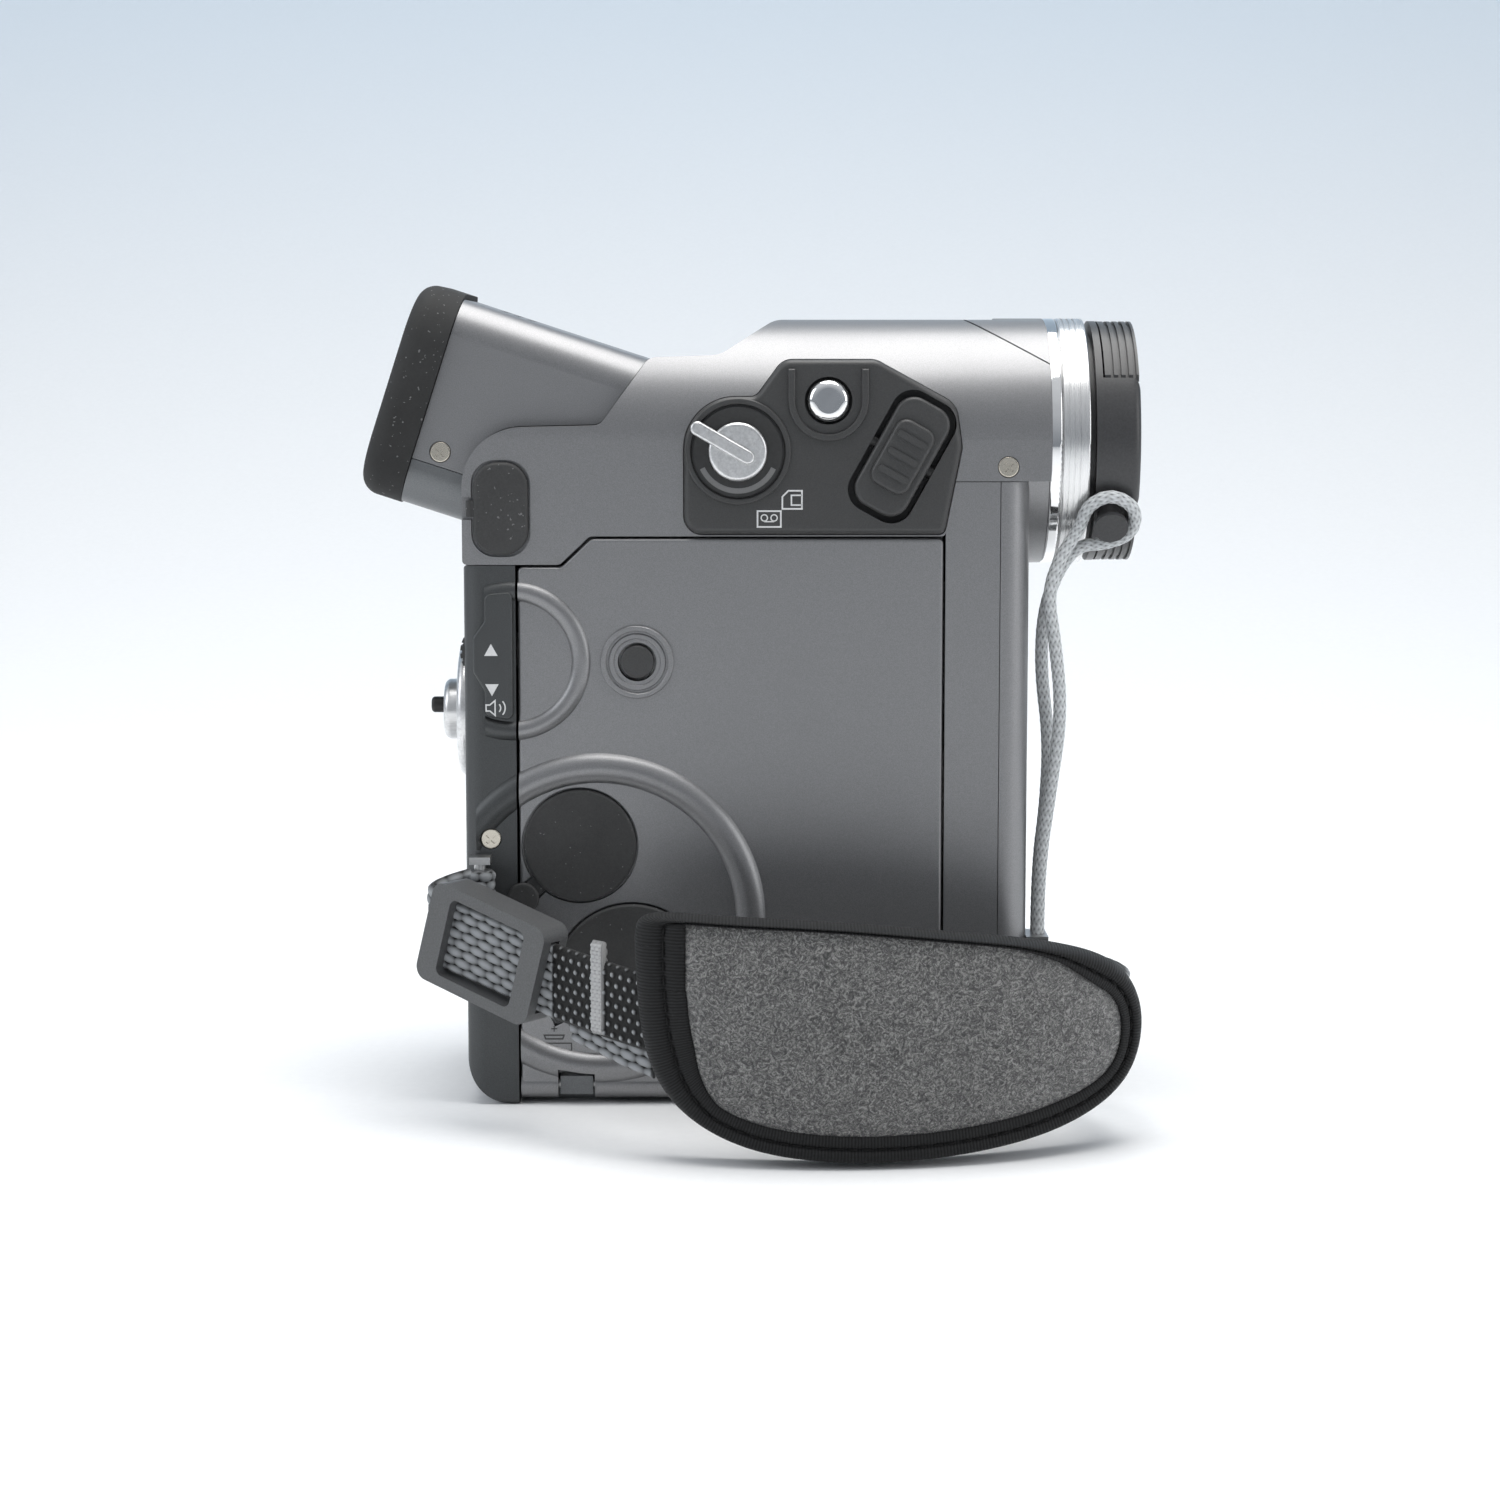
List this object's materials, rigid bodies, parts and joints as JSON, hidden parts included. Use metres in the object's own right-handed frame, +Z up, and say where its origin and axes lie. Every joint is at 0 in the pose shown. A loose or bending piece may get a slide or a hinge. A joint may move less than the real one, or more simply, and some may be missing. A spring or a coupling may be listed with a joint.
{
  "type": "handheld tape camcorder",
  "caption": "Upright hand-held tape camcorder with tilted viewfinder, fold-out screen, hinged cassette cover, padded hand strap and tethered lens cap.",
  "frame": {"origin": "point of the flat base straight under the lens axis, midway along the body", "axes": "+X where the lens looks, +Z up, -Y the right-hand side with the cassette cover and hand strap"},
  "size_m": [0.1052, 0.0832, 0.1105],
  "materials": {
    "body_paint": "fine metallic satin paint",
    "base_paint": "darker metallic satin paint",
    "trim_plastic": "dark grey fine texture",
    "panel_plastic": "charcoal satin",
    "cover_rubber": "matt black rubber",
    "cap_plastic": "dark grey satin",
    "chrome": "bright plated",
    "brushed_silver": "turned silver",
    "steel": "nickel plated",
    "inner_plastic": "black moulded",
    "circuit_board": "green solder mask",
    "glass": "coated glass",
    "webbing": "woven nylon",
    "suede": "grey suede nap",
    "binding_tape": "black elastic tape",
    "braided_cord": "silver grey braid"
  },
  "bodies": {
    "root": {"upper_housing": "body_paint", "viewfinder_housing": "body_paint", "viewfinder_base": "base_paint", "eyecup": "cover_rubber", "eyepiece_lens": "glass", "control_panel": "panel_plastic", "mic_jack": "trim_plastic", "cassette_hinge_pin": "steel", "rear_cover": "trim_plastic", "start_stop_ring": "chrome", "left_cover": "body_paint", "lcd_hinge_pin": "steel", "front_cover": "body_paint", "front_side_strip": "body_paint", "bottom_cover": "base_paint", "tripod_socket": "steel", "battery_pack": "inner_plastic", "chassis_frame": "steel", "main_circuit_board": "circuit_board", "lens_barrel": "inner_plastic", "front_lens_element": "glass", "chrome_trim_ring": "chrome", "lens_front_ring": "brushed_silver", "cord_front_strand": "braided_cord", "cord_back_strand": "braided_cord", "rear_strap_lug": "steel", "strap_webbing": "webbing", "strap_buckle": "panel_plastic", "strap_pad": "suede", "strap_pad_binding": "binding_tape", "front_strap_lug": "steel", "front_webbing": "webbing", "casing_screws": "steel"},
    "mode_dial": {"mode_dial": "brushed_silver"},
    "photo_button": {"photo_button": "chrome"},
    "zoom_rocker": {"zoom_rocker": "panel_plastic"},
    "mic_cover": {"mic_cover": "cover_rubber"},
    "cassette_door": {"cassette_cover": "body_paint", "cassette_carriage": "steel", "tape_cassette": "inner_plastic", "jack_board": "circuit_board"},
    "audio_level_button": {"audio_level_button": "panel_plastic"},
    "s_video_cover": {"s_video_cover": "cover_rubber"},
    "av_cover": {"av_cover": "cover_rubber"},
    "set_wheel": {"set_wheel": "panel_plastic"},
    "start_stop_button": {"start_stop_button": "brushed_silver"},
    "screen_panel": {"lcd_shell": "body_paint", "lcd_screen": "glass", "lcd_hinge_block": "brushed_silver"},
    "menu_button_1": {"menu_button_1": "panel_plastic"},
    "menu_button_2": {"menu_button_2": "panel_plastic"},
    "dioptre_lever": {"dioptre_lever": "panel_plastic"},
    "battery_door": {"battery_door": "trim_plastic"},
    "head_drum": {"head_drum": "steel"},
    "reel_drive_lower": {"reel_drive_lower": "inner_plastic"},
    "reel_drive_upper": {"reel_drive_upper": "inner_plastic"},
    "lens_cap": {"lens_cap_body": "cap_plastic", "cord_loop": "braided_cord"},
    "cap_tab_upper": {"lens_cap_tab_upper": "cap_plastic"},
    "cap_tab_lower": {"lens_cap_tab_lower": "cap_plastic"}
  },
  "joints": [
    {"name": "mode_dial_turn", "type": "hinge", "parent": "root", "child": "mode_dial", "pos_m": [-0.0016, -0.0198, 0.0885], "axis": [0, -1, 0], "range_deg": [-60, 40]},
    {"name": "photo_button_press", "type": "slide", "parent": "root", "child": "photo_button", "axis": [0, 1, 0], "range_m": [0, 0.0008], "stiffness_N_per_m": 300},
    {"name": "zoom_rock", "type": "hinge", "parent": "root", "child": "zoom_rocker", "pos_m": [0.0202, -0.018, 0.0878], "axis": [0.8746, 0, -0.4848], "range_deg": [-4, 4], "stiffness_Nm_per_rad": 0.05},
    {"name": "mic_cover_swing", "type": "hinge", "parent": "root", "child": "mic_cover", "pos_m": [-0.0374, -0.0191, 0.0809], "axis": [0, 0, -1], "range_deg": [0, 100], "stiffness_Nm_per_rad": 0.002},
    {"name": "cassette_door_swing", "type": "hinge", "parent": "root", "child": "cassette_door", "pos_m": [0, -0.0172, 0.0026], "axis": [1, 0, 0], "range_deg": [0, 20]},
    {"name": "audio_level_press", "type": "slide", "parent": "cassette_door", "child": "audio_level_button", "axis": [0, 1, 0], "range_m": [0, 0.0006], "stiffness_N_per_m": 300},
    {"name": "s_video_cover_swing", "type": "hinge", "parent": "cassette_door", "child": "s_video_cover", "pos_m": [-0.02926, -0.01865, 0.02967], "axis": [0.682, 0, -0.7314], "range_deg": [0, 40], "stiffness_Nm_per_rad": 0.002},
    {"name": "av_cover_swing", "type": "hinge", "parent": "cassette_door", "child": "av_cover", "pos_m": [-0.02633, -0.01865, 0.01248], "axis": [0.4226, 0, -0.9063], "range_deg": [0, 50], "stiffness_Nm_per_rad": 0.002},
    {"name": "set_wheel_turn", "type": "hinge", "parent": "root", "child": "set_wheel", "pos_m": [-0.0348, -0.0153, 0.0615], "axis": [0, 1, 0], "continuous": true},
    {"name": "start_stop_press", "type": "slide", "parent": "root", "child": "start_stop_button", "axis": [1, 0, 0], "range_m": [0, 0.001], "stiffness_N_per_m": 400},
    {"name": "screen_swing", "type": "hinge", "parent": "root", "child": "screen_panel", "pos_m": [0.0314, 0.0225, 0], "axis": [0, 0, -1], "range_deg": [0, 90]},
    {"name": "menu_button_1_press", "type": "slide", "parent": "root", "child": "menu_button_1", "axis": [0, -1, 0], "range_m": [0, 0.0006], "stiffness_N_per_m": 300},
    {"name": "menu_button_2_press", "type": "slide", "parent": "root", "child": "menu_button_2", "axis": [0, -1, 0], "range_m": [0, 0.0006], "stiffness_N_per_m": 300},
    {"name": "dioptre_slide", "type": "slide", "parent": "root", "child": "dioptre_lever", "axis": [0, 1, 0], "range_m": [-0.0028, 0.0028]},
    {"name": "battery_door_slide", "type": "slide", "parent": "root", "child": "battery_door", "axis": [1, 0, 0], "range_m": [0, 0.008]},
    {"name": "head_drum_spin", "type": "hinge", "parent": "root", "child": "head_drum", "pos_m": [0.0226, -0.001, 0.0376], "axis": [0, 1, 0], "continuous": true},
    {"name": "reel_lower_spin", "type": "hinge", "parent": "root", "child": "reel_drive_lower", "pos_m": [-0.0155, -0.001, 0.0226], "axis": [0, 1, 0], "continuous": true},
    {"name": "reel_upper_spin", "type": "hinge", "parent": "root", "child": "reel_drive_upper", "pos_m": [-0.0155, -0.001, 0.0526], "axis": [0, 1, 0], "continuous": true},
    {"name": "lens_cap_pull", "type": "slide", "parent": "root", "child": "lens_cap", "axis": [1, 0, 0], "range_m": [0, 0.012]},
    {"name": "cap_tab_upper_press", "type": "slide", "parent": "lens_cap", "child": "cap_tab_upper", "axis": [0, 0, -1], "range_m": [0, 0.0012], "stiffness_N_per_m": 300},
    {"name": "cap_tab_lower_press", "type": "slide", "parent": "lens_cap", "child": "cap_tab_lower", "axis": [0, 0, 1], "range_m": [0, 0.0012], "stiffness_N_per_m": 300}
  ]
}
